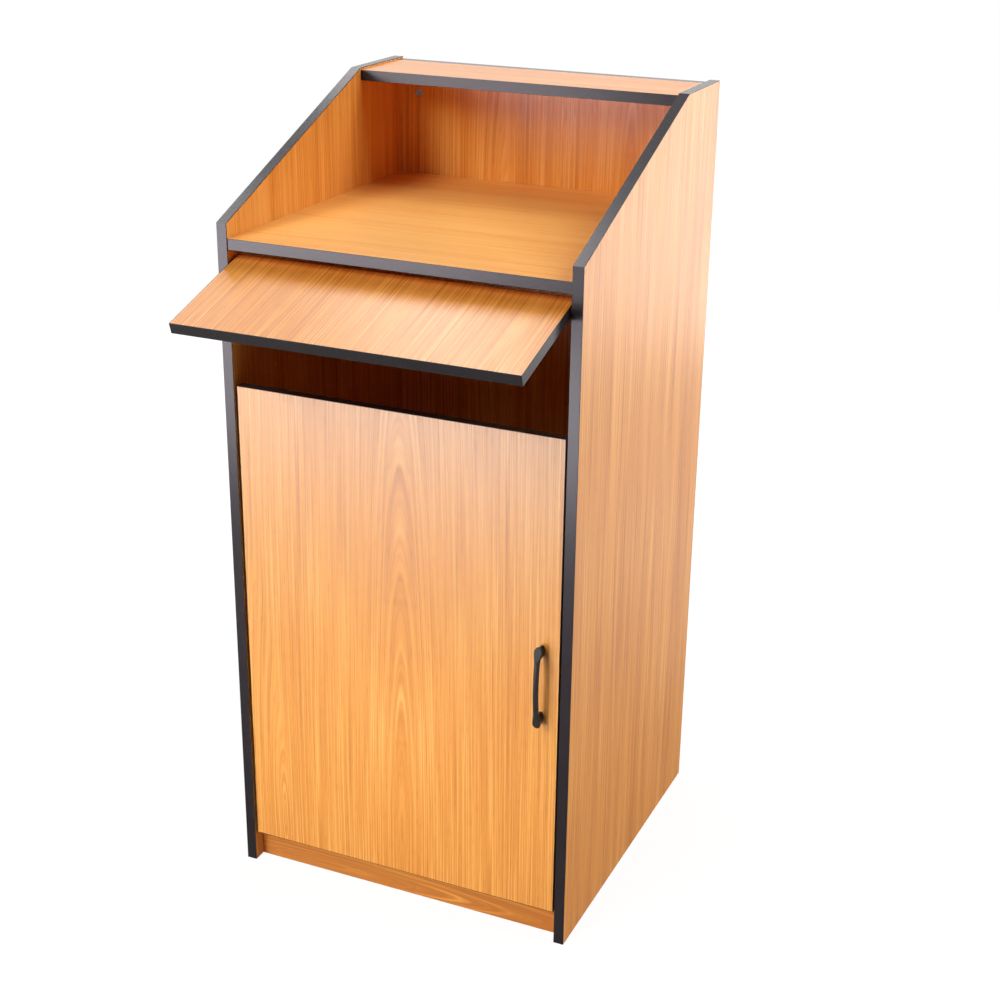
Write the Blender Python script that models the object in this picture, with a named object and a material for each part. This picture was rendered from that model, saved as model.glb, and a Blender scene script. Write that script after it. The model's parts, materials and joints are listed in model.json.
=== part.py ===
"""Wooden waste bin cabinet with a swinging waste flap and a hinged front door.

Metres, +Z up, the front faces -Y. The origin lies on the floor under the middle of
the cabinet's box, measured with the flap standing open as photographed.
"""

import math

import bmesh
import bpy
from mathutils import Matrix, Vector

# Boards of the carcass
CABINET_WIDTH = 0.500
CABINET_DEPTH = 0.4955
BOARD = 0.0145
TOP_EDGE_DEPTH = 0.132
SLOPE_RISE = 0.1472
SIDE_LIP = 0.0196
TOP_DROP = 0.003
WORKTOP_SETBACK = 0.0015
PLINTH_HEIGHT = 0.034

# Edging strips glued to the board edges
DARK_EDGING = 0.0006
DOOR_EDGING = 0.0005
WOOD_EDGING = 0.001
EDGING_ARRIS = 0.0003

# Front door
DOOR_HEIGHT = 0.6845
DOOR_SETBACK = 0.0025
DOOR_SIDE_GAP = 0.003
DOOR_REST_GAP = 0.003
DOOR_FLOOR_LAP = 0.0028

# Waste flap, hung on two pins close to its upper edge
FLAP_LENGTH = 0.1698
FLAP_SETBACK = 0.0025
FLAP_SIDE_GAP = 0.0023
FLAP_GAP_BELOW = 0.0063
FLAP_GAP_ABOVE = 0.0054
FLAP_OPEN_ANGLE = math.radians(73.0)
PIN_INSET = 0.0157
PIN_DIAMETER = 0.006
PIN_GRIP = 0.030
PIN_REACH = 0.009
PIN_CHAMFER = 0.0006
BUSH_WALL = 0.0018
BUSH_FLANGE = 0.0025
BUSH_FLANGE_THICKNESS = 0.0012

# Concealed door hinges
HINGE_END_DISTANCE = 0.100
CUP_DIAMETER = 0.035
CUP_DEPTH = 0.0100
CUP_WALL = 0.0015
CUP_RIM = 0.0004
CUP_EDGE_DISTANCE = 0.0055
FLANGE_LENGTH = 0.062
FLANGE_WIDTH = 0.020
FLANGE_THICKNESS = 0.0012
PLATE_LENGTH = 0.046
PLATE_WIDTH = 0.018
PLATE_WING = 0.052
PLATE_THICKNESS = 0.003
ARM_WIDTH = 0.014
ARM_THICKNESS = 0.0045

# Bow handle on the door
HANDLE_SPACING = 0.096
HANDLE_RISE = 0.345
HANDLE_EDGE_DISTANCE = 0.0245
HANDLE_REACH = 0.023
HANDLE_BOW = 0.0045
HANDLE_HEAD_DIAMETER = 0.0108
HANDLE_HEAD_RISE = 0.004
HANDLE_HEAD_DOME = 0.0065
HANDLE_FOOT_HEIGHT = 0.0165
HANDLE_FOOT_WIDTH = 0.0086
HANDLE_BAR_DIAMETER = 0.0074
HANDLE_TAPER = 0.018
HANDLE_FACET_START = 0.0139
HANDLE_FACET_ANGLE = math.radians(22.0)
SCREW_DIAMETER = 0.004
SCREW_HEAD_DIAMETER = 0.0085
SCREW_HEAD_HEIGHT = 0.0024
SCREW_DOME = 0.0008
SCREW_BITE = 0.008

# Cam fittings that pull the boards together
CAM_DIAMETER = 0.012
CAM_DEPTH = 0.0105
CAM_EDGE_DISTANCE = 0.033
CAM_RECESS = 0.004
CAM_RECESS_DEPTH = 0.0025
BOLT_DIAMETER = 0.005
BOLT_BITE = 0.010
BOLT_NECK = 0.0034
BOLT_HEAD_LENGTH = 0.003
BOLT_CHAMFER = 0.0006
BACK_CAM_DROP = 0.045
BACK_CAM_RISE = 0.110
SHELF_CAM_INSET = 0.070

# Gap that touching pieces keep, and how far a cutter overshoots the face it enters
SEAT_GAP = 0.0003
OVERSHOOT = 0.002

# Facets of round pieces
ROUND_SEGMENTS = 20
SMALL_SEGMENTS = 12
HEX_SIDES = 6
HANDLE_WAIST_STEPS = 4
HANDLE_TAPER_STEPS = 4
HANDLE_DOME_STEPS = 4
HANDLE_DOME_SWEEP = math.radians(75.0)
ARRIS_SEGMENTS = 2
SMOOTH_ANGLE = math.radians(35.0)
HALF_FACET = 0.5

# Heights stacked from the floor
BOTTOM_LOW = PLINTH_HEIGHT + SEAT_GAP
BOTTOM_HIGH = BOTTOM_LOW + BOARD
DOOR_LOW = BOTTOM_HIGH - DOOR_FLOOR_LAP
DOOR_HIGH = DOOR_LOW + DOOR_HEIGHT
FLAP_LOW = DOOR_HIGH + FLAP_GAP_BELOW
FLAP_HIGH = FLAP_LOW + FLAP_LENGTH
PIVOT_HEIGHT = FLAP_HIGH - PIN_INSET
WORKTOP_LOW = FLAP_HIGH + FLAP_GAP_ABOVE
WORKTOP_HIGH = WORKTOP_LOW + BOARD
SLOPE_START = WORKTOP_HIGH + SIDE_LIP
CABINET_HEIGHT = SLOPE_START + SLOPE_RISE
TOP_HIGH = CABINET_HEIGHT - TOP_DROP
TOP_LOW = TOP_HIGH - BOARD

# Depths, with the origin midway between the open flap's edge and the back
FLAP_BELOW_PIN = FLAP_LENGTH - PIN_INSET
FLAP_TIP_REACH = (
    (FLAP_BELOW_PIN - EDGING_ARRIS) * math.sin(FLAP_OPEN_ANGLE)
    + (BOARD / 2 - EDGING_ARRIS) * math.cos(FLAP_OPEN_ANGLE)
    + EDGING_ARRIS
    - FLAP_SETBACK
    - BOARD / 2
)
FRONT = (FLAP_TIP_REACH - CABINET_DEPTH) / 2
REAR = FRONT + CABINET_DEPTH
BACK_FACE = REAR - BOARD
DOOR_FRONT = FRONT + DOOR_SETBACK
DOOR_BACK = DOOR_FRONT + BOARD
PLINTH_FRONT = DOOR_BACK + DOOR_REST_GAP
TOP_FRONT = REAR - TOP_EDGE_DEPTH
PIVOT_DEPTH = FRONT + FLAP_SETBACK + BOARD / 2

# Widths, mirrored about X = 0
OUTER_HALF = CABINET_WIDTH / 2
INNER_HALF = OUTER_HALF - BOARD
SHELF_HALF = INNER_HALF - SEAT_GAP
DOOR_HALF = INNER_HALF - DOOR_SIDE_GAP
FLAP_HALF = INNER_HALF - FLAP_SIDE_GAP
SIDES = {"left": -1, "right": 1}


def principled(name, colour, roughness, metallic=0.0):
    """Material with one Principled BSDF of the given finish."""
    material = bpy.data.materials.new(name)
    material.use_nodes = True
    shader = material.node_tree.nodes["Principled BSDF"]
    shader.inputs["Base Color"].default_value = (*colour, 1.0)
    shader.inputs["Roughness"].default_value = roughness
    shader.inputs["Metallic"].default_value = metallic
    return material


def mesh_object(name, mesh_builder, material=None):
    """Object whose mesh is what the builder leaves in a bmesh, with its faces pointing out."""
    shape = bmesh.new()
    mesh_builder(shape)
    bmesh.ops.recalc_face_normals(shape, faces=shape.faces)
    mesh = bpy.data.meshes.new(name)
    shape.to_mesh(mesh)
    shape.free()
    piece = bpy.data.objects.new(name, mesh)
    bpy.context.collection.objects.link(piece)
    if material:
        mesh.materials.append(material)
    return piece


def extruded(name, outline, axis, low, high, material=None, rounded=0, arris=0.0):
    """Prism of a 2D outline along an axis; the first `rounded` outline edges get rounded arrises."""

    def point(pair, level):
        first, second = pair
        places = {"X": (level, first, second), "Y": (first, level, second), "Z": (first, second, level)}
        return places[axis]

    def build(shape):
        ends = [[shape.verts.new(point(pair, level)) for pair in outline] for level in (low, high)]
        for end in ends:
            shape.faces.new(end)
        count = len(outline)
        for index in range(count):
            following = (index + 1) % count
            shape.faces.new((ends[0][index], ends[0][following], ends[1][following], ends[1][index]))
        if rounded:
            pairs = [(end[index], end[index + 1]) for end in ends for index in range(rounded)]
            round_arrises(shape, [shape.edges.get(pair) for pair in pairs], arris)

    return mesh_object(name, build, material)


def round_arrises(shape, edges, radius):
    """Round the given edges of a bmesh."""
    bmesh.ops.bevel(
        shape, geom=edges, offset=radius, segments=ARRIS_SEGMENTS, profile=0.5, affect="EDGES"
    )


def board(name, low, high, material=None):
    """Rectangular board between two corners."""
    outline = [(low[0], low[1]), (high[0], low[1]), (high[0], high[1]), (low[0], high[1])]
    return extruded(name, outline, "Z", low[2], high[2], material)


def front_strip(name, front, thickness, low, high, half_width, material):
    """Edging strip along X whose two front arrises are rounded."""
    outline = [(front, low), (front, high), (front + thickness, high), (front + thickness, low)]
    strip = extruded(name, outline, "X", -half_width, half_width, material)
    shape = bmesh.new()
    shape.from_mesh(strip.data)
    nearest = min(vertex.co.y for vertex in shape.verts)
    edges = [
        edge
        for edge in shape.edges
        if all(vertex.co.y == nearest for vertex in edge.verts)
        and edge.verts[0].co.x != edge.verts[1].co.x
    ]
    round_arrises(shape, edges, EDGING_ARRIS)
    shape.to_mesh(strip.data)
    shape.free()
    return strip


def edging_ring(name, half_width, low, high, thickness, front, back, arris, material):
    """Edging round all four edges of an upright board that spans front to back in Y."""

    def corners(inset):
        x = half_width - inset
        return [(-x, low + inset), (x, low + inset), (x, high - inset), (-x, high - inset)]

    def build(shape):
        loops = {}
        for inset in (0.0, thickness):
            for level in (front, back):
                loops[inset, level] = [shape.verts.new((x, level, z)) for x, z in corners(inset)]
        walls = [
            (loops[0.0, front], loops[thickness, front]),
            (loops[thickness, front], loops[thickness, back]),
            (loops[thickness, back], loops[0.0, back]),
            (loops[0.0, back], loops[0.0, front]),
        ]
        for first, second in walls:
            for index in range(4):
                following = (index + 1) % 4
                shape.faces.new((first[index], first[following], second[following], second[index]))
        outer = [
            shape.edges.get((loop[index], loop[(index + 1) % 4]))
            for loop in (loops[0.0, front], loops[0.0, back])
            for index in range(4)
        ]
        round_arrises(shape, outer, arris)

    return mesh_object(name, build, material)


def turned(name, profile, start, direction, segments, material=None, turn=0.0):
    """Solid of revolution: profile holds (radius, distance along direction from start).

    turn rolls its facets round the axis, as a share of one facet.
    """
    aim = Vector((0.0, 0.0, 1.0)).rotation_difference(Vector(direction)).to_matrix().to_4x4()
    placed = Matrix.Translation(start) @ aim

    def build(shape):
        angles = [2 * math.pi * (step + turn) / segments for step in range(segments)]
        circle = [(math.cos(angle), math.sin(angle)) for angle in angles]
        rings = []
        for radius, height in profile:
            points = [Vector((radius * x, radius * y, height)) for x, y in circle]
            rings.append([shape.verts.new(placed @ point) for point in points])
        for lower, upper in zip(rings, rings[1:]):
            for index in range(segments):
                following = (index + 1) % segments
                shape.faces.new((lower[index], lower[following], upper[following], upper[index]))
        shape.faces.new(rings[0])
        shape.faces.new(rings[-1])

    piece = mesh_object(name, build, material)
    shade_round(piece)
    return piece


def cylinder(name, radius, start, direction, length, segments=SMALL_SEGMENTS, material=None, turn=0.0):
    """Plain round rod."""
    return turned(name, [(radius, 0.0), (radius, length)], start, direction, segments, material, turn)


def shade_round(piece):
    """Shade smooth, with its true edges kept sharp."""
    piece.data.shade_smooth()
    piece.data.set_sharp_from_angle(angle=SMOOTH_ANGLE)


def combine(piece, tools, operation):
    """Cut the tools out of a piece, or join them to it, and remove the tools."""
    for tool in tools:
        modifier = piece.modifiers.new(tool.name, "BOOLEAN")
        modifier.operation = operation
        modifier.object = tool
    evaluated = piece.evaluated_get(bpy.context.evaluated_depsgraph_get())
    mesh = bpy.data.meshes.new_from_object(evaluated)
    piece.modifiers.clear()
    mesh.name = piece.name
    piece.data = mesh
    for tool in tools:
        bpy.data.objects.remove(tool)


def cut(piece, tools):
    """Cut the tools out of a piece."""
    combine(piece, tools, "DIFFERENCE")


def join(piece, tools):
    """Join the tools to a piece as one solid."""
    combine(piece, tools, "UNION")


def inner_path(path, distance):
    """Open 2D path moved to its right-hand side, with mitred corners."""
    normals = []
    for start, end in zip(path, path[1:]):
        along = (Vector(end) - Vector(start)).normalized()
        normals.append(Vector((along.y, -along.x)))
    moved = [Vector(path[0]) + normals[0] * distance]
    for place, before, after in zip(path[1:-1], normals, normals[1:]):
        moved.append(Vector(place) + (before + after) * distance / (1 + before.dot(after)))
    moved.append(Vector(path[-1]) + normals[-1] * distance)
    return [tuple(point) for point in moved]


def side_edge_path():
    """Front, slope and top edges of a side board as (Y, Z) points, from the floor to the rear."""
    return [
        (FRONT, 0.0),
        (FRONT, SLOPE_START),
        (TOP_FRONT, CABINET_HEIGHT),
        (REAR, CABINET_HEIGHT),
    ]


def make_sides(wood, dark):
    """Five-sided side boards, each with one edging strip bent round its visible edges."""
    path = side_edge_path()
    strip_outline = path + inner_path(path, DARK_EDGING)[::-1]
    panel_outline = inner_path(path, DARK_EDGING + SEAT_GAP) + [(REAR, 0.0)]
    panels = {}
    for side, sign in SIDES.items():
        low, high = sorted((sign * INNER_HALF, sign * OUTER_HALF))
        panels[side] = extruded(f"{side}_side_panel", panel_outline, "X", low, high, wood)
        bends = len(path) - 1
        extruded(f"{side}_side_edging", strip_outline, "X", low, high, dark, bends, EDGING_ARRIS)
    return panels


def make_shelves(wood, wood_edge, dark):
    """Boards that lie or stand between the sides, with their edging."""
    shelf_back = BACK_FACE - SEAT_GAP
    panels = {}

    worktop_front = FRONT + WORKTOP_SETBACK
    front_strip("worktop_edging", worktop_front, DARK_EDGING, WORKTOP_LOW, WORKTOP_HIGH, SHELF_HALF, dark)
    panels["worktop"] = board(
        "worktop",
        (-SHELF_HALF, worktop_front + DARK_EDGING + SEAT_GAP, WORKTOP_LOW),
        (SHELF_HALF, shelf_back, WORKTOP_HIGH),
        wood,
    )

    front_strip("top_panel_edging", TOP_FRONT, DARK_EDGING, TOP_LOW, TOP_HIGH, SHELF_HALF, dark)
    panels["top_panel"] = board(
        "top_panel",
        (-SHELF_HALF, TOP_FRONT + DARK_EDGING + SEAT_GAP, TOP_LOW),
        (SHELF_HALF, shelf_back, TOP_HIGH),
        wood,
    )

    front_strip(
        "bottom_panel_edging", PLINTH_FRONT, WOOD_EDGING, BOTTOM_LOW, BOTTOM_HIGH, SHELF_HALF, wood_edge
    )
    panels["bottom_panel"] = board(
        "bottom_panel",
        (-SHELF_HALF, PLINTH_FRONT + WOOD_EDGING + SEAT_GAP, BOTTOM_LOW),
        (SHELF_HALF, shelf_back, BOTTOM_HIGH),
        wood,
    )

    plinth_back = PLINTH_FRONT + BOARD
    board("plinth", (-SHELF_HALF, PLINTH_FRONT, 0.0), (SHELF_HALF, plinth_back, PLINTH_HEIGHT), wood)

    strip_low = TOP_HIGH - DARK_EDGING
    board("back_panel_edging", (-SHELF_HALF, BACK_FACE, strip_low), (SHELF_HALF, REAR, TOP_HIGH), dark)
    panels["back_panel"] = board(
        "back_panel", (-SHELF_HALF, BACK_FACE, 0.0), (SHELF_HALF, REAR, strip_low - SEAT_GAP), wood
    )
    return panels


def cam_places():
    """Each cam joint: its board, the bolt's (Y, Z) and the way the cam's face looks."""
    back_middle = REAR - BOARD / 2
    downwards = Vector((0.0, 0.0, -1.0))
    forwards = Vector((0.0, -1.0, 0.0))
    places = {
        "back_upper": ("back_panel", (back_middle, TOP_HIGH - BACK_CAM_DROP), forwards),
        "back_lower": ("back_panel", (back_middle, BACK_CAM_RISE), forwards),
        "top": ("top_panel", ((TOP_FRONT + BACK_FACE) / 2, TOP_LOW + BOARD / 2), downwards),
    }
    for shelf, middle in (("worktop", WORKTOP_LOW + BOARD / 2), ("bottom_panel", BOTTOM_LOW + BOARD / 2)):
        prefix = shelf.split("_")[0]
        places[f"{prefix}_front"] = (shelf, (PLINTH_FRONT + SHELF_CAM_INSET, middle), downwards)
        places[f"{prefix}_rear"] = (shelf, (BACK_FACE - SHELF_CAM_INSET, middle), downwards)
    return places


def make_cam(name, centre, face, inwards, metal):
    """Cam disc sunk in a board: face looks out of the board, inwards leads to the bolt's side."""
    top = centre + face * (BOARD / 2 - SEAT_GAP)
    floor = top - face * CAM_DEPTH
    cam = cylinder(name, CAM_DIAMETER / 2, floor, face, CAM_DEPTH, ROUND_SEGMENTS, metal, HALF_FACET)
    recess_start = top - face * CAM_RECESS_DEPTH
    recess = cylinder("recess", CAM_RECESS / 2, recess_start, face, CAM_RECESS_DEPTH + OVERSHOOT, HEX_SIDES)
    channel = cylinder("channel", BOLT_DIAMETER / 2 + SEAT_GAP, centre, inwards, CAM_DIAMETER)
    cut(cam, [recess, channel])


def make_bolt(name, start, direction, length, metal):
    """Bolt screwed into the side board, with a neck and a head that the cam draws in."""
    shank = BOLT_DIAMETER / 2
    neck = BOLT_NECK / 2
    head_start = length - BOLT_HEAD_LENGTH
    neck_start = head_start - BOLT_HEAD_LENGTH
    profile = [
        (shank - BOLT_CHAMFER, 0.0),
        (shank, BOLT_CHAMFER),
        (shank, neck_start),
        (neck, neck_start + BOLT_CHAMFER),
        (neck, head_start),
        (shank, head_start + BOLT_CHAMFER),
        (shank, length - BOLT_CHAMFER),
        (shank - BOLT_CHAMFER, length),
    ]
    turned(name, profile, start, direction, SMALL_SEGMENTS, metal)


def make_cam_joints(shelves, metal):
    """Cam fittings at both ends of each board between the sides; returns the sides' bolt sockets."""
    pocket_radius = CAM_DIAMETER / 2 + SEAT_GAP
    bore_radius = BOLT_DIAMETER / 2 + SEAT_GAP
    bolt_length = BOLT_BITE + CAM_EDGE_DISTANCE
    side_tools = {side: [] for side in SIDES}
    shelf_tools = {name: [] for name in shelves}
    for place, (shelf, (depth, height), face) in cam_places().items():
        for side, sign in SIDES.items():
            outwards = Vector((sign, 0.0, 0.0))
            end = Vector((sign * INNER_HALF, depth, height))
            centre = end - outwards * CAM_EDGE_DISTANCE
            pocket_floor = centre + face * (BOARD / 2 - CAM_DEPTH - 2 * SEAT_GAP)
            pocket_length = CAM_DEPTH + 2 * SEAT_GAP + OVERSHOOT
            pocket = cylinder(
                "pocket", pocket_radius, pocket_floor, face, pocket_length, ROUND_SEGMENTS, turn=HALF_FACET
            )
            bore_length = CAM_EDGE_DISTANCE + OVERSHOOT
            bore = cylinder("bore", bore_radius, centre, outwards, bore_length, turn=HALF_FACET)
            shelf_tools[shelf] += [pocket, bore]
            side_start = end + outwards * (BOLT_BITE + SEAT_GAP)
            side_length = BOLT_BITE + SEAT_GAP + OVERSHOOT
            side_tools[side].append(cylinder("socket", bore_radius, side_start, -outwards, side_length))
            make_cam(f"{place}_cam_{side}", centre, face, outwards, metal)
            bolt_start = end + outwards * BOLT_BITE
            make_bolt(f"{place}_bolt_{side}", bolt_start, -outwards, bolt_length - SEAT_GAP, metal)
    for name, tools in shelf_tools.items():
        cut(shelves[name], tools)
    return side_tools


def make_bushes(side_tools, plastic):
    """Flanged bushes in the side boards, on the flap's pivot line."""
    hole = PIN_DIAMETER / 2 + SEAT_GAP
    body = hole + BUSH_WALL
    flange = body + BUSH_FLANGE
    depth = PIN_REACH + SEAT_GAP
    for side, sign in SIDES.items():
        outwards = Vector((sign, 0.0, 0.0))
        mouth = Vector((sign * (INNER_HALF - SEAT_GAP), PIVOT_DEPTH, PIVOT_HEIGHT))
        profile = [
            (flange, -BUSH_FLANGE_THICKNESS),
            (flange, 0.0),
            (body, 0.0),
            (body, depth),
        ]
        bush = turned(f"flap_bush_{side}", profile, mouth, outwards, ROUND_SEGMENTS, plastic)
        bore_start = mouth - outwards * (BUSH_FLANGE_THICKNESS + OVERSHOOT)
        bore_length = BUSH_FLANGE_THICKNESS + depth + 2 * OVERSHOOT
        cut(bush, [cylinder("bore", hole, bore_start, outwards, bore_length, ROUND_SEGMENTS)])
        shade_round(bush)
        socket_start = mouth - outwards * OVERSHOOT
        socket_length = OVERSHOOT + depth + SEAT_GAP
        side_tools[side].append(
            cylinder("socket", body + SEAT_GAP, socket_start, outwards, socket_length, ROUND_SEGMENTS)
        )


def pivot_empty(name, location, rotation=(0.0, 0.0, 0.0)):
    """Empty on a joint's axis that carries the pieces that turn about it."""
    empty = bpy.data.objects.new(name, None)
    empty.location = location
    empty.rotation_euler = rotation
    bpy.context.collection.objects.link(empty)
    return empty


def make_flap(wood, dark, metal):
    """Waste flap, modelled hanging from its pivot line and then swung out."""
    pivot = pivot_empty("flap_pivot", (0.0, PIVOT_DEPTH, PIVOT_HEIGHT), (-FLAP_OPEN_ANGLE, 0.0, 0.0))
    low = -FLAP_BELOW_PIN
    inset = DARK_EDGING + SEAT_GAP
    panel = board(
        "flap_panel",
        (-FLAP_HALF + inset, -BOARD / 2, low + inset),
        (FLAP_HALF - inset, BOARD / 2, PIN_INSET - inset),
        wood,
    )
    edging = edging_ring(
        "flap_edging", FLAP_HALF, low, PIN_INSET, DARK_EDGING, -BOARD / 2, BOARD / 2, EDGING_ARRIS, dark
    )
    pieces = [panel, edging]
    tools = {"flap_panel": [], "flap_edging": []}
    pin_length = PIN_GRIP + FLAP_SIDE_GAP + PIN_REACH
    radius = PIN_DIAMETER / 2
    profile = [
        (radius - PIN_CHAMFER, 0.0),
        (radius, PIN_CHAMFER),
        (radius, pin_length - PIN_CHAMFER),
        (radius - PIN_CHAMFER, pin_length),
    ]
    bore_radius = radius + SEAT_GAP
    bore_length = SEAT_GAP + PIN_GRIP + OVERSHOOT
    for side, sign in SIDES.items():
        outwards = Vector((sign, 0.0, 0.0))
        start = outwards * (FLAP_HALF - PIN_GRIP)
        pieces.append(turned(f"flap_pin_{side}", profile, start, outwards, ROUND_SEGMENTS, metal))
        bore_start = start - outwards * SEAT_GAP
        for tool_list in tools.values():
            bore = cylinder("bore", bore_radius, bore_start, outwards, bore_length, ROUND_SEGMENTS)
            tool_list.append(bore)
    cut(panel, tools["flap_panel"])
    cut(edging, tools["flap_edging"])
    for piece in pieces:
        piece.parent = pivot


def stadium(half_length, half_width, centre):
    """Outline with round ends, long in its second coordinate."""
    first, second = centre
    reach = half_length - half_width
    steps = ROUND_SEGMENTS // 2
    points = []
    for end, start_angle in ((reach, 0.0), (-reach, math.pi)):
        for step in range(steps + 1):
            angle = start_angle + math.pi * step / steps
            across = first + half_width * math.cos(angle)
            along = second + end + half_width * math.sin(angle)
            points.append((across, along))
    return points


def hinge_heights():
    """Heights of the two door hinges."""
    return {"lower": DOOR_LOW + HINGE_END_DISTANCE, "upper": DOOR_HIGH - HINGE_END_DISTANCE}


def make_hinge_cup(name, centre_x, height, metal):
    """Hinge cup with its screw flange on the door's back face, in the door's own coordinates."""
    face = BOARD
    radius = CUP_DIAMETER / 2
    flange = extruded(
        name,
        stadium(FLANGE_LENGTH / 2, FLANGE_WIDTH / 2, (centre_x, height)),
        "Y",
        face + SEAT_GAP,
        face + SEAT_GAP + FLANGE_THICKNESS,
        metal,
    )
    floor = Vector((centre_x, face - CUP_DEPTH, height))
    backwards = (0.0, 1.0, 0.0)
    body_length = CUP_DEPTH + SEAT_GAP + FLANGE_THICKNESS + CUP_RIM
    join(flange, [cylinder("body", radius, floor, backwards, body_length, ROUND_SEGMENTS)])
    hollow_start = floor + Vector((0.0, CUP_WALL, 0.0))
    hollow_radius = radius - CUP_WALL
    cut(flange, [cylinder("hollow", hollow_radius, hollow_start, backwards, body_length, ROUND_SEGMENTS)])
    shade_round(flange)
    return flange


def make_hinge_mounts(metal):
    """Mounting plates on the left side board and the cranked arms they carry."""
    plate_low = -INNER_HALF + SEAT_GAP
    plate_high = plate_low + PLATE_THICKNESS
    arm_low = plate_high + SEAT_GAP
    arm_high = arm_low + ARM_THICKNESS
    cup_face = DOOR_BACK + 2 * SEAT_GAP + FLANGE_THICKNESS + CUP_RIM
    plate_front = cup_face + CUP_DIAMETER / 2
    plate_back = plate_front + PLATE_LENGTH
    plate_middle = (plate_front + plate_back) / 2
    wing_half = PLATE_WIDTH / 2
    tip_low = -DOOR_HALF + CUP_EDGE_DISTANCE
    tip_high = tip_low + CUP_DIAMETER / 2
    knee = cup_face + ARM_THICKNESS
    arm_outline = [
        (arm_low, plate_back),
        (arm_low, plate_front),
        (tip_low, knee),
        (tip_low, cup_face),
        (tip_high, cup_face),
        (tip_high, knee),
        (arm_high, plate_front + ARM_THICKNESS),
        (arm_high, plate_back),
    ]
    for level, height in hinge_heights().items():
        plate_outline = [
            (plate_front, height - wing_half),
            (plate_middle - wing_half, height - wing_half),
            (plate_middle - wing_half, height - PLATE_WING / 2),
            (plate_middle + wing_half, height - PLATE_WING / 2),
            (plate_middle + wing_half, height - wing_half),
            (plate_back, height - wing_half),
            (plate_back, height + wing_half),
            (plate_middle + wing_half, height + wing_half),
            (plate_middle + wing_half, height + PLATE_WING / 2),
            (plate_middle - wing_half, height + PLATE_WING / 2),
            (plate_middle - wing_half, height + wing_half),
            (plate_front, height + wing_half),
        ]
        extruded(f"hinge_plate_{level}", plate_outline, "X", plate_low, plate_high, metal)
        arm_half = ARM_WIDTH / 2
        extruded(f"hinge_arm_{level}", arm_outline, "Z", height - arm_half, height + arm_half, metal)


def handle_profile():
    """Radii of the handle's upper half from its waist to its rounded head, with their heights."""
    head_radius = HANDLE_HEAD_DIAMETER / 2
    bar_radius = HANDLE_BAR_DIAMETER / 2
    widest = HANDLE_SPACING / 2 + HANDLE_HEAD_RISE
    waist = widest - HANDLE_TAPER
    profile = [(bar_radius, waist * step / HANDLE_WAIST_STEPS) for step in range(HANDLE_WAIST_STEPS)]
    for step in range(HANDLE_TAPER_STEPS + 1):
        share = step / HANDLE_TAPER_STEPS
        blend = share * share * (3 - 2 * share)
        profile.append((bar_radius + (head_radius - bar_radius) * blend, waist + HANDLE_TAPER * share))
    for step in range(1, HANDLE_DOME_STEPS + 1):
        sweep = HANDLE_DOME_SWEEP * step / HANDLE_DOME_STEPS
        profile.append((head_radius * math.cos(sweep), widest + HANDLE_HEAD_DOME * math.sin(sweep)))
    return profile


def make_handle(centre_x, height, metal):
    """Bow handle: a waisted bar bent towards two oval posts, with a slanted facet on each head."""
    bar_depth = -(HANDLE_REACH - HANDLE_BAR_DIAMETER / 2)
    half = HANDLE_SPACING / 2
    upper_profile = handle_profile()
    lower_profile = [(radius, -place) for radius, place in upper_profile[:0:-1]]
    middle = Vector((centre_x, bar_depth, height))
    upwards = (0.0, 0.0, 1.0)
    profile = lower_profile + upper_profile
    handle = turned("door_handle", profile, middle, upwards, ROUND_SEGMENTS, metal)
    for vertex in handle.data.vertices:
        share = (vertex.co.z - height) / half
        vertex.co.y += HANDLE_BOW * share * share
    forwards = Vector((0.0, -1.0, 0.0))
    posts = []
    facets = []
    for sign in (-1, 1):
        foot = Vector((centre_x, -SEAT_GAP, height + sign * half))
        post_length = -bar_depth - HANDLE_BOW
        post = cylinder("post", 0.5, Vector(), forwards, post_length, ROUND_SEGMENTS, turn=HALF_FACET)
        oval = Matrix.Diagonal((HANDLE_FOOT_WIDTH, 1.0, HANDLE_FOOT_HEIGHT, 1.0))
        post.data.transform(Matrix.Translation(foot) @ oval)
        posts.append(post)
        shoulder = Vector((centre_x, -HANDLE_REACH, height + sign * (half - HANDLE_FACET_START)))
        slant = Vector((0.0, -math.cos(HANDLE_FACET_ANGLE), sign * math.sin(HANDLE_FACET_ANGLE)))
        facets.append(cylinder("facet", HANDLE_SPACING, shoulder, slant, HANDLE_SPACING))
    join(handle, posts)
    cut(handle, facets)

    screw_tools = []
    bore_radius = SCREW_DIAMETER / 2 + SEAT_GAP
    bore_length = OVERSHOOT + SEAT_GAP + SCREW_BITE + SEAT_GAP
    for sign in (-1, 1):
        bore_start = Vector((centre_x, OVERSHOOT, height + sign * half))
        screw_tools.append(cylinder("bore", bore_radius, bore_start, forwards, bore_length))
    cut(handle, screw_tools)
    shade_round(handle)
    return handle


def make_handle_screw(name, centre_x, height, metal):
    """Pan-head screw from the door's back face into a handle post."""
    head_radius = SCREW_HEAD_DIAMETER / 2
    shank_radius = SCREW_DIAMETER / 2
    seat = SCREW_HEAD_HEIGHT
    tip = seat + SEAT_GAP + BOARD + SEAT_GAP + SCREW_BITE
    profile = [
        (head_radius - SCREW_DOME, 0.0),
        (head_radius, SCREW_DOME),
        (head_radius, seat),
        (shank_radius, seat),
        (shank_radius, tip - SCREW_DOME),
        (shank_radius - SCREW_DOME, tip),
    ]
    start = Vector((centre_x, BOARD + SEAT_GAP + SCREW_HEAD_HEIGHT, height))
    return turned(name, profile, start, (0.0, -1.0, 0.0), SMALL_SEGMENTS, metal)


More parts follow.
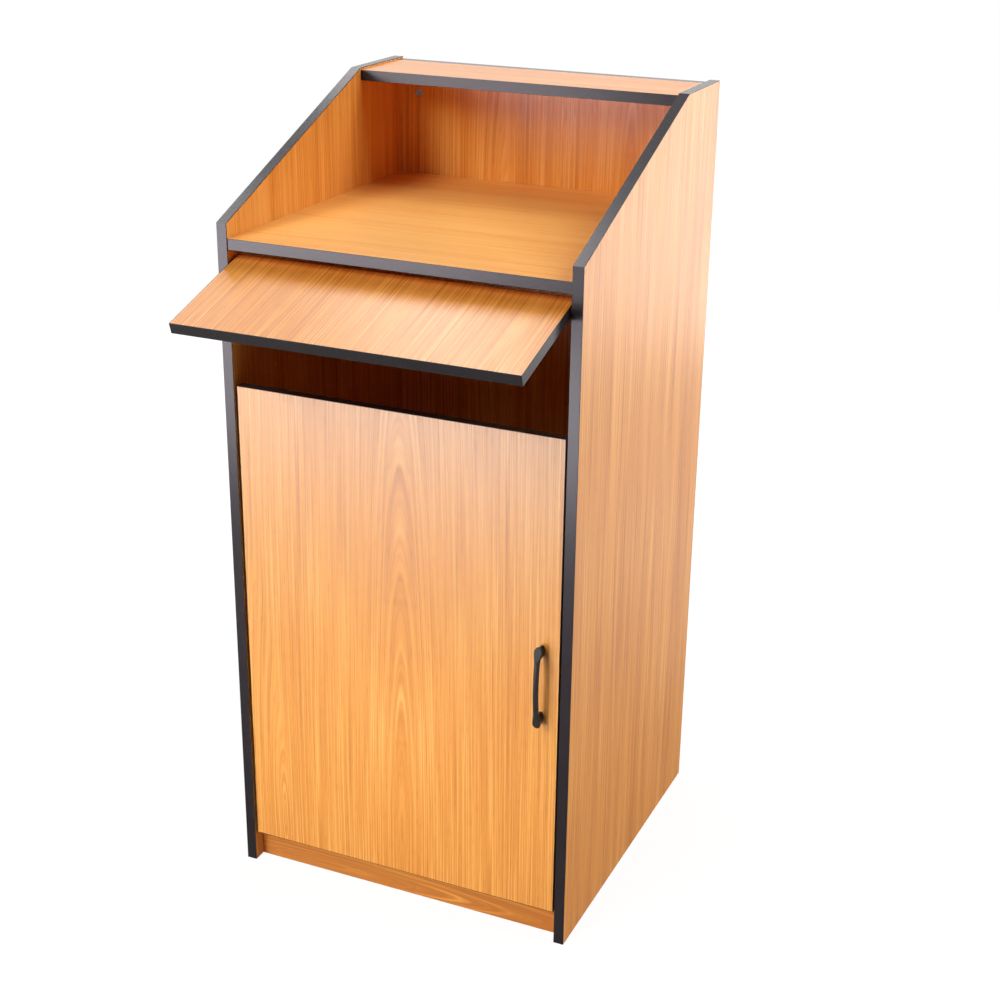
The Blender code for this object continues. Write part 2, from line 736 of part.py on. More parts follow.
def make_door(wood, dark, metal, handle_metal):
    """Front door with its edging, handle and hinge cups, turning about its front left edge."""
    pivot = pivot_empty("door_pivot", (-DOOR_HALF, DOOR_FRONT, 0.0))
    inset = DOOR_EDGING + SEAT_GAP
    panel = board(
        "door_panel",
        (-DOOR_HALF + inset, 0.0, DOOR_LOW + inset),
        (DOOR_HALF - inset, BOARD, DOOR_HIGH - inset),
        wood,
    )
    edging = edging_ring(
        "door_edging", DOOR_HALF, DOOR_LOW, DOOR_HIGH, DOOR_EDGING, 0.0, BOARD, EDGING_ARRIS, dark
    )
    pieces = [panel, edging]
    tools = []

    cup_x = -DOOR_HALF + CUP_EDGE_DISTANCE + CUP_DIAMETER / 2
    for level, height in hinge_heights().items():
        pieces.append(make_hinge_cup(f"hinge_cup_{level}", cup_x, height, metal))
        pocket_start = Vector((cup_x, BOARD - CUP_DEPTH - SEAT_GAP, height))
        pocket_length = CUP_DEPTH + SEAT_GAP + OVERSHOOT
        pocket_radius = CUP_DIAMETER / 2 + SEAT_GAP
        tools.append(
            cylinder("pocket", pocket_radius, pocket_start, (0.0, 1.0, 0.0), pocket_length, ROUND_SEGMENTS)
        )

    handle_x = DOOR_HALF - HANDLE_EDGE_DISTANCE
    handle_height = DOOR_LOW + HANDLE_RISE
    pieces.append(make_handle(handle_x, handle_height, handle_metal))
    for level, sign in (("lower", -1), ("upper", 1)):
        height = handle_height + sign * HANDLE_SPACING / 2
        pieces.append(make_handle_screw(f"handle_screw_{level}", handle_x, height, metal))
        bore_start = Vector((handle_x, -OVERSHOOT, height))
        bore_length = BOARD + 2 * OVERSHOOT
        tools.append(
            cylinder("bore", SCREW_DIAMETER / 2 + SEAT_GAP, bore_start, (0.0, 1.0, 0.0), bore_length)
        )
    cut(panel, tools)
    for piece in pieces:
        piece.data.transform(Matrix.Translation((DOOR_HALF, 0.0, 0.0)))
        piece.parent = pivot


def main():
    """Clear the scene and build the cabinet."""
    for old in list(bpy.data.objects):
        bpy.data.objects.remove(old)
    wood = principled("wood_laminate", (0.70, 0.37, 0.15), 0.35)
    wood_edge = principled("wood_edging", (0.72, 0.40, 0.18), 0.40)
    dark = principled("dark_edging", (0.035, 0.033, 0.037), 0.45)
    steel = principled("zinc_steel", (0.62, 0.60, 0.57), 0.30, metallic=1.0)
    black = principled("black_handle", (0.02, 0.019, 0.021), 0.35)
    plastic = principled("bush_plastic", (0.05, 0.05, 0.05), 0.50)

    sides = make_sides(wood, dark)
    shelves = make_shelves(wood, wood_edge, dark)
    side_tools = make_cam_joints(shelves, steel)
    make_bushes(side_tools, plastic)
    for side, panel in sides.items():
        cut(panel, side_tools[side])
    make_flap(wood, dark, steel)
    make_hinge_mounts(steel)
    make_door(wood, dark, steel, black)
    bpy.context.view_layer.update()


main()
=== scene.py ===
"""Finishes, small fasteners, studio and camera for the wooden waste bin cabinet.

Metres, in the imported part's frame: +Z up, the front faces -Y.
"""

import json
import math

import bmesh
import bpy
from mathutils import Matrix, Vector


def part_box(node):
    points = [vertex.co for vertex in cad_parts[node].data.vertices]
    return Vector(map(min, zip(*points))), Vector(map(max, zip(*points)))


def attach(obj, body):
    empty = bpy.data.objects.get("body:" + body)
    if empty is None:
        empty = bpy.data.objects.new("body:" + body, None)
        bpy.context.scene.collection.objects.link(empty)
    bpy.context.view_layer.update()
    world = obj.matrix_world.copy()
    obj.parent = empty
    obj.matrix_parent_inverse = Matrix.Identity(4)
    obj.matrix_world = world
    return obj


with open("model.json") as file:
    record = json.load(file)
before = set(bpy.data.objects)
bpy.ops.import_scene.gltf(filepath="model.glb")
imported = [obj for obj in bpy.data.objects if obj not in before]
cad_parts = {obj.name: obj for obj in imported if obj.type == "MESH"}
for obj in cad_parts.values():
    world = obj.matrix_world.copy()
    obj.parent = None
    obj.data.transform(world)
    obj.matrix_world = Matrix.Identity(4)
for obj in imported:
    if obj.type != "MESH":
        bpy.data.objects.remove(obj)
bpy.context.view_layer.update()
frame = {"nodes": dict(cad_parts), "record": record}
NODES = frame["nodes"]

# Camera, fitted to the photograph's corners
CAMERA_PLACE = Vector((0.9471, -1.9992, 1.449))
CAMERA_AZIMUTH = math.radians(23.708)
CAMERA_ELEVATION = math.radians(22.199)
CAMERA_ROLL = math.radians(0.7635)
CAMERA_LENS_MM = 62.05
CAMERA_SENSOR_MM = 36.0

# Studio
FLOOR_HALF_SIZE = 40.0
FLOOR_DROP = 0.0004
FLOOR_SEEN_COLOUR = (0.10, 0.10, 0.10, 1.0)
FLOOR_BOUNCE_COLOUR = (0.32, 0.30, 0.28, 1.0)
FLOOR_NEAR = 0.5
FLOOR_FAR = 1.3
FLOOR_GLOW_NEAR = 0.93
# Painted shade: in reflections the floor glows dimmer near the cabinet, standing in for the cabinet's
# shadow on it
FLOOR_MIRRORED_SHADED_NEAR = 0.15
FLOOR_MIRRORED_FAR = 0.9
WORLD_LIGHT = 0.04

# Softboxes as (place, aim, size, watts, beam in degrees). Matte ones light the colours, sheen ones are
# only mirrored, and a grid on the key light keeps its beam out of the mouth.
OPEN_BEAM = 180.0
GRID_BEAM = 55.0
MATTE_LAMPS = {
    "key_light": ((-0.45, -1.7, 0.45), (0.0, -0.2, 0.19), (0.9, 0.4), 2.4, GRID_BEAM),
    "high_light": ((-1.1, -2.3, 2.25), (0.0, -0.1, 0.6), (1.0, 0.7), 28.0, OPEN_BEAM),
    "upper_light": ((-1.2, -1.8, 2.8), (0.0, -0.1, 0.6), (1.0, 0.8), 25.5, OPEN_BEAM),
    "top_light": ((-0.35, 1.0, 2.6), (0.0, 0.0, 0.9), (1.4, 1.3), 13.0, OPEN_BEAM),
    "right_light": ((1.45, 0.4, 2.25), (0.0, 0.0, 0.9), (1.0, 1.0), 28.5, OPEN_BEAM),
    "fill_light": ((1.9, 0.2, 0.2), (0.25, 0.05, 0.2), (1.2, 0.4), 14.5, OPEN_BEAM),
    "rear_light": ((-1.3, 2.4, 0.9), (-0.1, 0.2, 0.5), (1.2, 1.2), 19.5, OPEN_BEAM),
}
SHEEN_LAMPS = {
    "door_sheen": ((-0.97, -1.6, 0.5), (0.0, -0.2, 0.45), (0.86, 0.9), 32.0, OPEN_BEAM),
    "low_sheen": ((-0.38, -1.7, 0.18), (0.1, -0.2, 0.6), (0.6, 0.42), 13.0, OPEN_BEAM),
    "edge_sheen": ((-1.2, -1.6, 0.6), (-0.1, -0.2, 0.8), (0.5, 0.5), 2.6, OPEN_BEAM),
    "top_sheen": ((-0.82, 1.0, 2.6), (0.0, -0.1, 0.9), (0.45, 0.9), 13.0, OPEN_BEAM),
    "flap_sheen": ((-1.75, 1.0, 2.6), (-0.2, -0.3, 0.85), (0.3, 0.9), 6.0, OPEN_BEAM),
    "side_sheen": ((1.1, 2.3, 0.8), (0.25, 0.1, 0.7), (1.5, 1.5), 14.5, OPEN_BEAM),
    "back_sheen": ((-1.0, 2.6, 1.9), (0.0, 0.0, 1.0), (2.4, 0.7), 4.5, OPEN_BEAM),
}

# Directions in the part's frame
RIGHT = Vector((1.0, 0.0, 0.0))
BACK = Vector((0.0, 1.0, 0.0))
UP = Vector((0.0, 0.0, 1.0))
FLAP_OPEN_ANGLE = math.radians(73.0)
FLAP_OUTWARDS = Vector((0.0, -math.sin(FLAP_OPEN_ANGLE), -math.cos(FLAP_OPEN_ANGLE)))
FLAP_FACE = Vector((0.0, -math.cos(FLAP_OPEN_ANGLE), math.sin(FLAP_OPEN_ANGLE)))

# Rings of the printed wood, in metres; a heart is where arches nest, and its lean spreads them
# along the board
RING_SPACING = 0.0027
RING_WANDER = 0.005
RING_SHARE = 0.09
RING_STOPS = ((0.0, 0.35), (0.6, 0.4), (0.86, 0.95), (1.0, 0.35))
ARCH_SQUEEZE = 1.5
HEART_LEAN = 0.085
SMALL_HEART_ALONG = -0.03
SMALL_HEART_ACROSS = -0.19
SMALL_HEART_LEAN = 0.12
SMALL_HEART_REACH = 0.018
HEART_BLEND = 0.004
GRAIN_SWAY = 0.012

# Noise, and its frequencies per metre along, across and through the grain
NOISE_MIDDLE = 0.5
SWAY_STRETCH = (1.3, 5.0, 1.0)
WANDER_STRETCH = (2.0, 30.0, 1.0)
PORE_STRETCH = (55.0, 1500.0, 1.0)

# Broad layers of the grain, stronger on boards with more figure: stretch and share
BROAD_RANGE = (0.3, 0.7)
BROAD_LAYERS = (
    ((1.0, 9.0, 1.0), 0.05),
    ((0.8, 23.0, 1.0), 0.07),
)
# Fine layers: stretch, the part of the noise that counts, and share
FINE_LAYERS = (
    ((2.0, 87.0, 1.0), (0.30, 0.70), 0.06),
    ((2.5, 150.0, 1.0), (0.25, 0.75), 0.08),
    ((3.0, 230.0, 1.0), (0.25, 0.75), 0.18),
    ((3.5, 340.0, 1.0), (0.25, 0.75), 0.36),
    ((5.0, 480.0, 1.0), (0.25, 0.75), 0.34),
    ((6.0, 380.0, 1.0), (0.60, 0.74), -0.13),
    ((4.0, 310.0, 1.0), (0.60, 0.74), 0.40),
    ((42.0, 420.0, 1.0), (0.58, 0.72), -0.11),
)
RELIEF_LAYER = 3
PORE_RANGE = (0.60, 0.72)
PORE_SHARE = -0.10
PORE_DEPTH = -0.6
GRAIN_START = -0.06

# Laminate over chipboard; its roughness is given for low and for high grain
WOOD_DARK = (0.56, 0.180, 0.025, 1.0)
WOOD_MIDDLE = (0.80, 0.320, 0.053, 1.0)
WOOD_LIGHT = (0.93, 0.475, 0.130, 1.0)
LAMINATE_ROUGHNESS = (0.38, 0.29)
LAMINATE_IOR = 1.46
LAMINATE_RELIEF = 0.00004
CHIP_STRETCH = (420.0, 420.0, 420.0)
CHIP_DARK = (0.20, 0.105, 0.045, 1.0)
CHIP_LIGHT = (0.52, 0.345, 0.185, 1.0)
CHIP_STOPS = (0.36, 0.62)
CORE_ROUGHNESS_RISE = 0.45
FACE_LIMIT = 0.7

# Plastics and metals, each with a dark and a light end of its cloudy colour
CLOUD_RANGE = (0.3, 0.7)
CHARCOAL = ((0.018, 0.0140, 0.0165, 1.0), (0.024, 0.0190, 0.0220, 1.0))
BLACK = ((0.014, 0.013, 0.014, 1.0), (0.022, 0.020, 0.022, 1.0))
DARK_GREY = ((0.030, 0.030, 0.031, 1.0), (0.045, 0.045, 0.046, 1.0))
ZINC = ((0.50, 0.48, 0.45, 1.0), (0.70, 0.69, 0.67, 1.0))
CAST_ZINC = ((0.26, 0.24, 0.22, 1.0), (0.36, 0.34, 0.32, 1.0))
WHITE = (1.0, 1.0, 1.0, 1.0)
EDGING_TINT = (0.99, 0.92, 1.0, 1.0)
METAL_CLOUD_STRETCH = (120.0, 120.0, 120.0)
PLASTIC_CLOUD_STRETCH = (9.0, 9.0, 9.0)
PLASTIC_ROUGHNESS_SPREAD = 0.05
PLASTIC_STRETCH = (900.0, 900.0, 900.0)
PLASTIC_RELIEF = 0.00003

# Hinge screws
SCREW_RADIUS = 0.0034
SCREW_CROWN_RADIUS = 0.0026
SCREW_RIM = 0.0004
SCREW_HEIGHT = 0.0011
SCREW_SINK = 0.0003
SCREW_CORNERS = 12
CORNERS_PER_ARM = 3
CROSS_REACH = 0.0019
CROSS_DEPTH = 0.0007
CROSS_TAPER = 0.7
CUP_RIM = 0.0004
CUP_SCREW_DISTANCE = 0.0245
WING_SCREW_DISTANCE = 0.020
ARM_FACE_RISE = 0.0048
ARM_SCREW_INSET = 0.012

# Index of the colour sockets on a mix node
MIX_SHARE = 0
MIX_FIRST = 6
MIX_SECOND = 7
MIX_RESULT = 2


class Graph:
    """One node tree under construction; most methods add a node and return its output."""

    def __init__(self, tree):
        self.tree = tree
        tree.nodes.clear()

    def node(self, kind, inputs, **settings):
        made = self.tree.nodes.new(kind)
        for name, value in settings.items():
            setattr(made, name, value)
        for key, value in inputs.items():
            if isinstance(value, bpy.types.NodeSocket):
                self.tree.links.new(value, made.inputs[key])
            else:
                made.inputs[key].default_value = value
        return made

    def math(self, operation, *values):
        return self.node("ShaderNodeMath", dict(enumerate(values)), operation=operation).outputs[0]

    def vector(self, operation, *values):
        made = self.node("ShaderNodeVectorMath", dict(enumerate(values)), operation=operation)
        return made.outputs["Vector"]

    def measure(self, operation, *values):
        made = self.node("ShaderNodeVectorMath", dict(enumerate(values)), operation=operation)
        return made.outputs["Value"]

    def noise(self, place, stretch, detail=2.0, roughness=0.5):
        scaled = self.vector("MULTIPLY", place, stretch)
        inputs = {"Vector": scaled, "Scale": 1.0, "Detail": detail, "Roughness": roughness}
        return self.node("ShaderNodeTexNoise", inputs).outputs[0]

    def remap(self, value, low, high, new_low=0.0, new_high=1.0):
        inputs = {"Value": value, "From Min": low, "From Max": high, "To Min": new_low, "To Max": new_high}
        return self.node("ShaderNodeMapRange", inputs).outputs["Result"]

    def ramp(self, value, stops):
        made = self.node("ShaderNodeValToRGB", {"Fac": value})
        elements = made.color_ramp.elements
        stops = list(stops)
        while len(elements) < len(stops):
            elements.new(0.5)
        for element, (position, colour) in zip(elements, stops):
            element.position = position
            element.color = colour
        return made.outputs["Color"]

    def mix(self, share, first, second):
        inputs = {MIX_SHARE: share, MIX_FIRST: first, MIX_SECOND: second}
        return self.node("ShaderNodeMix", inputs, data_type="RGBA").outputs[MIX_RESULT]

    def bump(self, height, distance):
        return self.node("ShaderNodeBump", {"Height": height, "Distance": distance}).outputs["Normal"]


def grey(level):
    """Colour with equal parts."""
    return (level, level, level, 1.0)


def new_material(name):
    """Material with an empty node tree, and the graph that fills it."""
    material = bpy.data.materials.new(name)
    material.use_nodes = True
    return material, Graph(material.node_tree)


def close_material(graph, shader):
    """Lead a shader to the material's output."""
    graph.node("ShaderNodeOutputMaterial", {"Surface": shader.outputs[0]})


def heart_distance(graph, along, across, lean):
    """Distance from the heart of a leaning log, squeezed so that its arches are narrow."""
    wide = graph.math("MULTIPLY", across, ARCH_SQUEEZE)
    deep = graph.math("MULTIPLY", along, lean)
    squares = graph.math("ADD", graph.math("MULTIPLY", wide, wide), graph.math("MULTIPLY", deep, deep))
    return graph.math("SQRT", squares)


def wood_print():
    """Group that turns a place on a board (along, across, through the grain) into colour and relief."""
    group = bpy.data.node_groups.new("wood_print", "ShaderNodeTree")
    group.interface.new_socket("Place", in_out="INPUT", socket_type="NodeSocketVector")
    group.interface.new_socket("Tone", in_out="INPUT", socket_type="NodeSocketFloat")
    group.interface.new_socket("Figure", in_out="INPUT", socket_type="NodeSocketFloat")
    group.interface.new_socket("Colour", in_out="OUTPUT", socket_type="NodeSocketColor")
    group.interface.new_socket("Relief", in_out="OUTPUT", socket_type="NodeSocketFloat")
    graph = Graph(group)
    given = graph.node("NodeGroupInput", {})
    place = given.outputs["Place"]
    parts = graph.node("ShaderNodeSeparateXYZ", {0: place})
    along, across = parts.outputs["X"], parts.outputs["Y"]

    # Two hearts share the rings: straight lines at the sides, arches near each heart
    sway = graph.math("SUBTRACT", graph.noise(place, SWAY_STRETCH), NOISE_MIDDLE)
    lateral = graph.math("ADD", across, graph.math("MULTIPLY", sway, GRAIN_SWAY))
    main = heart_distance(graph, along, lateral, HEART_LEAN)
    small_along = graph.math("SUBTRACT", along, SMALL_HEART_ALONG)
    small_across = graph.math("SUBTRACT", lateral, SMALL_HEART_ACROSS)
    small = heart_distance(graph, small_along, small_across, SMALL_HEART_LEAN)
    small_start = ARCH_SQUEEZE * abs(SMALL_HEART_ACROSS) - SMALL_HEART_REACH
    radius = graph.math("SMOOTH_MIN", main, graph.math("ADD", small, small_start), HEART_BLEND)
    followed = graph.node("ShaderNodeCombineXYZ", {"X": along, "Y": radius}).outputs[0]
    wander = graph.math("SUBTRACT", graph.noise(followed, WANDER_STRETCH), NOISE_MIDDLE)
    wandered = graph.math("MULTIPLY_ADD", wander, RING_WANDER, radius)
    phase = graph.math("FRACT", graph.math("DIVIDE", wandered, RING_SPACING))
    ring = graph.ramp(phase, [(stop, grey(level)) for stop, level in RING_STOPS])

    tone = graph.math("MULTIPLY_ADD", ring, RING_SHARE, given.outputs["Tone"])
    for stretch, share in BROAD_LAYERS:
        broad = graph.noise(followed, stretch, detail=1.0)
        swing = graph.remap(broad, *BROAD_RANGE, -share, share)
        tone = graph.math("MULTIPLY_ADD", swing, given.outputs["Figure"], tone)
    fine = []
    for stretch, (low, high), share in FINE_LAYERS:
        fine.append(graph.remap(graph.noise(followed, stretch, detail=0.0), low, high))
        tone = graph.math("MULTIPLY_ADD", fine[-1], share, tone)
    pore = graph.remap(graph.noise(place, PORE_STRETCH, detail=1.0), *PORE_RANGE)
    tone = graph.math("MULTIPLY_ADD", pore, PORE_SHARE, tone)
    colour = graph.ramp(tone, [(0.0, WOOD_DARK), (0.5, WOOD_MIDDLE), (1.0, WOOD_LIGHT)])
    relief = graph.math("MULTIPLY_ADD", pore, PORE_DEPTH, fine[RELIEF_LAYER])
    graph.node("NodeGroupOutput", {"Colour": colour, "Relief": relief})
    return group


WOOD_PRINT = wood_print()


def board_material(name, axes, shift, tone, figure=1.0, raw_edges=True):
    """Laminated board: printed grain on its two faces, bare chipboard where it is sawn or bored."""
    material, graph = new_material(name)
    coordinates = graph.node("ShaderNodeTexCoord", {})
    place = coordinates.outputs["Object"]
    lengths = [graph.measure("DOT_PRODUCT", place, tuple(axis)) for axis in axes]
    own = graph.node("ShaderNodeCombineXYZ", dict(zip("XYZ", lengths))).outputs[0]
    printed = graph.node("ShaderNodeGroup", {}, node_tree=WOOD_PRINT)
    printed.inputs["Tone"].default_value = GRAIN_START + tone
    printed.inputs["Figure"].default_value = figure
    graph.tree.links.new(graph.vector("ADD", own, (*shift, 0.0)), printed.inputs["Place"])
    colour, relief = printed.outputs["Colour"], printed.outputs["Relief"]
    roughness = graph.remap(relief, 0.0, 1.0, *LAMINATE_ROUGHNESS)
    if raw_edges:
        facing = graph.measure("DOT_PRODUCT", coordinates.outputs["Normal"], tuple(axes[2]))
        face = graph.math("GREATER_THAN", graph.math("ABSOLUTE", facing), FACE_LIMIT)
        chips = graph.noise(place, CHIP_STRETCH, detail=3.0, roughness=0.7)
        core = graph.ramp(chips, zip(CHIP_STOPS, (CHIP_DARK, CHIP_LIGHT)))
        colour = graph.mix(face, core, colour)
        bare = graph.math("SUBTRACT", 1.0, face)
        roughness = graph.math("MULTIPLY_ADD", bare, CORE_ROUGHNESS_RISE, roughness)
    inputs = {"Base Color": colour, "Roughness": roughness, "IOR": LAMINATE_IOR}
    shader = graph.node("ShaderNodeBsdfPrincipled", inputs)
    graph.tree.links.new(graph.bump(relief, LAMINATE_RELIEF), shader.inputs["Normal"])
    close_material(graph, shader)
    return material


def plastic_material(name, colours, roughness, gloss=0.5, tint=WHITE):
    """Moulded or extruded plastic with a fine grain."""
    material, graph = new_material(name)
    place = graph.node("ShaderNodeTexCoord", {}).outputs["Object"]
    cloud = graph.noise(place, PLASTIC_CLOUD_STRETCH, detail=3.0)
    fine = graph.noise(place, PLASTIC_STRETCH)
    colour = graph.ramp(cloud, zip(CLOUD_RANGE, colours))
    smoothest = roughness - PLASTIC_ROUGHNESS_SPREAD
    roughest = roughness + PLASTIC_ROUGHNESS_SPREAD
    rough = graph.remap(fine, *CLOUD_RANGE, smoothest, roughest)
    inputs = {"Base Color": colour, "Roughness": rough, "Specular IOR Level": gloss, "Specular Tint": tint}
    shader = graph.node("ShaderNodeBsdfPrincipled", inputs)
    graph.tree.links.new(graph.bump(fine, PLASTIC_RELIEF), shader.inputs["Normal"])
    close_material(graph, shader)
    return material


def metal_material(name, colours, smoothest, roughest):
    """Bare metal with a faint cloudy finish."""
    material, graph = new_material(name)
    place = graph.node("ShaderNodeTexCoord", {}).outputs["Object"]
    cloud = graph.noise(place, METAL_CLOUD_STRETCH, detail=3.0)
    colour = graph.ramp(cloud, zip(CLOUD_RANGE, colours))
    rough = graph.remap(cloud, *CLOUD_RANGE, smoothest, roughest)
    inputs = {"Base Color": colour, "Roughness": rough, "Metallic": 1.0}
    close_material(graph, graph.node("ShaderNodeBsdfPrincipled", inputs))
    return material


def dress(node, material):
    """Give a node of the part its finish."""
    slots = NODES[node].data.materials
    slots.clear()
    slots.append(material)


def dress_boards():
    """Grain runs upright on the upright boards, left to right on the level ones and down the flap."""
    side = (UP, BACK, RIGHT)
    upright = (UP, RIGHT, BACK)
    level = (RIGHT, BACK, UP)
    # Directions, shift along and across the grain, tone, strength of the figure. Some tones are painted
    # light: the worktop is paler as a painted sheen, the left side is paler as painted light, and the
    # right side, the flap and the top are darker as painted shade.
    plans = {
        "left_side_panel": (side, (0.40, 0.41), 0.14, 3.0),
        "right_side_panel": (side, (-0.62, -0.67), -0.14, 2.2),
        "back_panel": (upright, (-0.85, -0.13), 0.0, 2.4),
        "door_panel": (upright, (-0.12, -0.005), 0.0, 1.0),
        "plinth": ((RIGHT, UP, BACK), (0.12, -0.012), -0.34, 1.6),
        "worktop": (level, (1.30, -0.34), 0.44, 2.4),
        "top_panel": (level, (-1.70, 0.35), -0.30, 1.6),
        "bottom_panel": (level, (3.40, 0.14), 0.0, 1.0),
        "flap_panel": ((FLAP_OUTWARDS, RIGHT, FLAP_FACE), (0.55, 0.42), -0.20, 1.0),
    }
    for node, (axes, shift, tone, figure) in plans.items():
        edged = node in ("door_panel", "flap_panel")
        dress(node, board_material(node + "_laminate", axes, shift, tone, figure, not edged))


def dress_small_parts():
    """Edging strips, handle, hinge and joint hardware; gives back the steel finish."""
    steel = metal_material("zinc_plate", ZINC, smoothest=0.32, roughest=0.48)
    cast = metal_material("cast_zinc", CAST_ZINC, smoothest=0.42, roughest=0.55)
    edging = plastic_material("charcoal_edging", CHARCOAL, roughness=0.24, gloss=0.20, tint=EDGING_TINT)
    lengthwise = (RIGHT, UP, BACK)
    wooden = board_material("wood_edging", lengthwise, (4.2, 0.18), tone=-0.1, raw_edges=False)
    finishes = {
        "dark_edging": edging,
        "wood_edging": wooden,
        "handle": plastic_material("black_handle", BLACK, roughness=0.30, gloss=0.25),
        "bush": plastic_material("bush_plastic", DARK_GREY, roughness=0.5),
        "steel": steel,
    }
    for part in frame["record"]["subparts"]:
        if part["material_slot"] in finishes:
            dress(part["node"], finishes[part["material_slot"]])
        if "_cam_" in part["node"]:
            dress(part["node"], cast)
    return steel


def add_screw(shape, place, facing):
    """Add one cross-recessed screw head to a mesh, seated at a place and facing out of it."""
    turn = Vector(facing).to_track_quat("Z", "Y")
    half_step = math.pi / SCREW_CORNERS
    tip = CROSS_REACH / math.cos(half_step)
    notch = CROSS_REACH * math.tan(half_step) * math.sqrt(2.0)
    between_arms = (corner % CORNERS_PER_ARM == 1 for corner in range(SCREW_CORNERS))
    cross = [notch if between else tip for between in between_arms]
    levels = [
        ([SCREW_RADIUS] * SCREW_CORNERS, -SCREW_SINK),
        ([SCREW_RADIUS] * SCREW_CORNERS, SCREW_RIM),
        ([SCREW_CROWN_RADIUS] * SCREW_CORNERS, SCREW_HEIGHT),
        (cross, SCREW_HEIGHT),
        ([reach * CROSS_TAPER for reach in cross], SCREW_HEIGHT - CROSS_DEPTH),
    ]
    rings = []
    for reaches, height in levels:
        ring = []
        for corner, reach in enumerate(reaches):
            angle = half_step * (2 * corner + 1)
            point = Vector((reach * math.cos(angle), reach * math.sin(angle), height))
            ring.append(shape.verts.new(Vector(place) + turn @ point))
        rings.append(ring)
    for lower, upper in zip(rings, rings[1:]):
        for corner in range(SCREW_CORNERS):
            after = (corner + 1) % SCREW_CORNERS
            shape.faces.new((lower[corner], lower[after], upper[after], upper[corner]))
    shape.faces.new(reversed(rings[0]))
    shape.faces.new(rings[-1])


def make_hinge_screws(steel):
    """Screws of the hinge cups, on the door, and of the mounting plates and arms, on the carcass."""
    shapes = {"door": bmesh.new(), "carcass": bmesh.new()}
    for level in ("lower", "upper"):
        cup_low, cup_high = (Vector(corner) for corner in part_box(f"hinge_cup_{level}"))
        plate_low, plate_high = (Vector(corner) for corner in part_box(f"hinge_plate_{level}"))
        middle = (cup_low + cup_high) / 2
        plate_middle = (plate_low.y + plate_high.y) / 2
        for way in (-1, 1):
            height = middle.z + way * CUP_SCREW_DISTANCE
            add_screw(shapes["door"], (middle.x, cup_high.y - CUP_RIM, height), BACK)
            height = middle.z + way * WING_SCREW_DISTANCE
            add_screw(shapes["carcass"], (plate_high.x, plate_middle, height), RIGHT)
        arm_place = (plate_high.x + ARM_FACE_RISE, plate_high.y - ARM_SCREW_INSET, middle.z)
        add_screw(shapes["carcass"], arm_place, RIGHT)
    for body, shape in shapes.items():
        name = f"hinge_screws_{body}"
        mesh = bpy.data.meshes.new(name)
        shape.to_mesh(mesh)
        shape.free()
        mesh.materials.append(steel)
        screws = bpy.data.objects.new(name, mesh)
        bpy.context.scene.collection.objects.link(screws)
        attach(screws, body)


def make_camera():
    """Camera at the photograph's place and angle."""
    data = bpy.data.cameras.new("camera")
    data.lens = CAMERA_LENS_MM
    data.sensor_width = CAMERA_SENSOR_MM
    camera = bpy.data.objects.new("camera", data)
    level = math.cos(CAMERA_ELEVATION)
    sideways = math.sin(CAMERA_AZIMUTH) * level
    forwards = -math.cos(CAMERA_AZIMUTH) * level
    back = Vector((sideways, forwards, math.sin(CAMERA_ELEVATION)))
    right = UP.cross(back).normalized()
    up = back.cross(right)
    rolled_right = math.cos(CAMERA_ROLL) * right + math.sin(CAMERA_ROLL) * up
    rolled_up = back.cross(rolled_right)
    turn = Matrix((rolled_right, rolled_up, back)).transposed().to_4x4()
    camera.matrix_world = Matrix.Translation(CAMERA_PLACE) @ turn
    bpy.context.scene.collection.objects.link(camera)
    bpy.context.scene.camera = camera


def ray_kinds(graph):
    """1 for rays from the camera, and 1 for rays from a glossy or clear surface."""
    path = graph.node("ShaderNodeLightPath", {})
    mirrored = graph.math("MAXIMUM", path.outputs["Is Glossy Ray"], path.outputs["Is Transmission Ray"])
    return path.outputs["Is Camera Ray"], mirrored


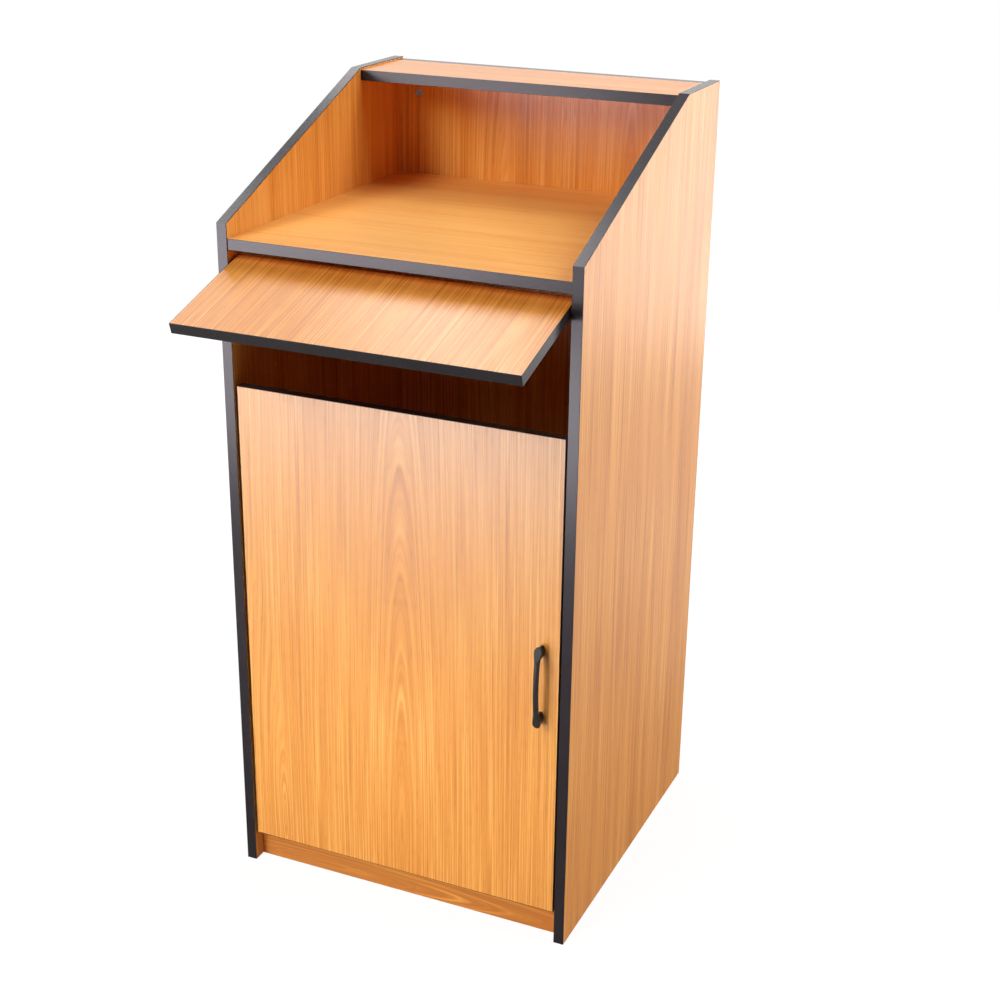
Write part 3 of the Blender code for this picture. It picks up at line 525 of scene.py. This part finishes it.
def make_floor():
    """Wide pale floor: white to the eye, with the cabinet's shadow kept on it, and painted shade near the
    cabinet in its reflections.
    """
    shape = bmesh.new()
    bmesh.ops.create_grid(shape, x_segments=1, y_segments=1, size=FLOOR_HALF_SIZE)
    mesh = bpy.data.meshes.new("floor")
    shape.to_mesh(mesh)
    shape.free()
    floor = bpy.data.objects.new("floor", mesh)
    floor.location = (0.0, 0.0, -FLOOR_DROP)
    bpy.context.scene.collection.objects.link(floor)
    material, graph = new_material("pale_floor")
    seen, mirrored = ray_kinds(graph)
    paint = graph.mix(seen, FLOOR_BOUNCE_COLOUR, FLOOR_SEEN_COLOUR)
    lit = graph.node("ShaderNodeBsdfDiffuse", {"Color": paint})
    reach = graph.measure("LENGTH", graph.node("ShaderNodeTexCoord", {}).outputs["Object"])
    glow = graph.remap(reach, FLOOR_NEAR, FLOOR_FAR, FLOOR_GLOW_NEAR, 1.0)
    # Painted shade: the floor's glow seen in reflections is dimmer near the cabinet, where its shadow
    # falls
    mirrored_shade = graph.remap(reach, FLOOR_NEAR, FLOOR_FAR, FLOOR_MIRRORED_SHADED_NEAR, FLOOR_MIRRORED_FAR)
    strength = graph.math("MULTIPLY_ADD", mirrored, mirrored_shade, graph.math("MULTIPLY", seen, glow))
    white = graph.node("ShaderNodeEmission", {"Color": WHITE, "Strength": strength})
    close_material(graph, graph.node("ShaderNodeAddShader", {0: lit.outputs[0], 1: white.outputs[0]}))
    mesh.materials.append(material)


def make_world():
    """White surroundings to the eye and in reflections, and a plain soft light on the cabinet."""
    world = bpy.data.worlds.new("studio")
    world.use_nodes = True
    graph = Graph(world.node_tree)
    shown = graph.math("MAXIMUM", *ray_kinds(graph))
    strength = graph.remap(shown, 0.0, 1.0, WORLD_LIGHT, 1.0)
    background = graph.node("ShaderNodeBackground", {"Color": WHITE, "Strength": strength})
    graph.node("ShaderNodeOutputWorld", {"Surface": background.outputs[0]})
    bpy.context.scene.world = world


def make_lamps(plans, glossy):
    """Softboxes unseen by the camera, either lighting the cabinet or only mirrored in it."""
    for name, (place, aim, size, watts, beam) in plans.items():
        data = bpy.data.lights.new(name, "AREA")
        data.shape = "RECTANGLE"
        data.size, data.size_y = size
        data.energy = watts
        data.spread = math.radians(beam)
        lamp = bpy.data.objects.new(name, data)
        lamp.location = place
        lamp.rotation_euler = (Vector(aim) - Vector(place)).to_track_quat("-Z", "Y").to_euler()
        lamp.visible_camera = False
        lamp.visible_glossy = glossy
        lamp.visible_diffuse = not glossy
        bpy.context.scene.collection.objects.link(lamp)


dress_boards()
make_hinge_screws(dress_small_parts())
make_camera()
make_floor()
make_world()
make_lamps(MATTE_LAMPS, False)
make_lamps(SHEEN_LAMPS, True)
bpy.context.scene.view_settings.view_transform = "Standard"
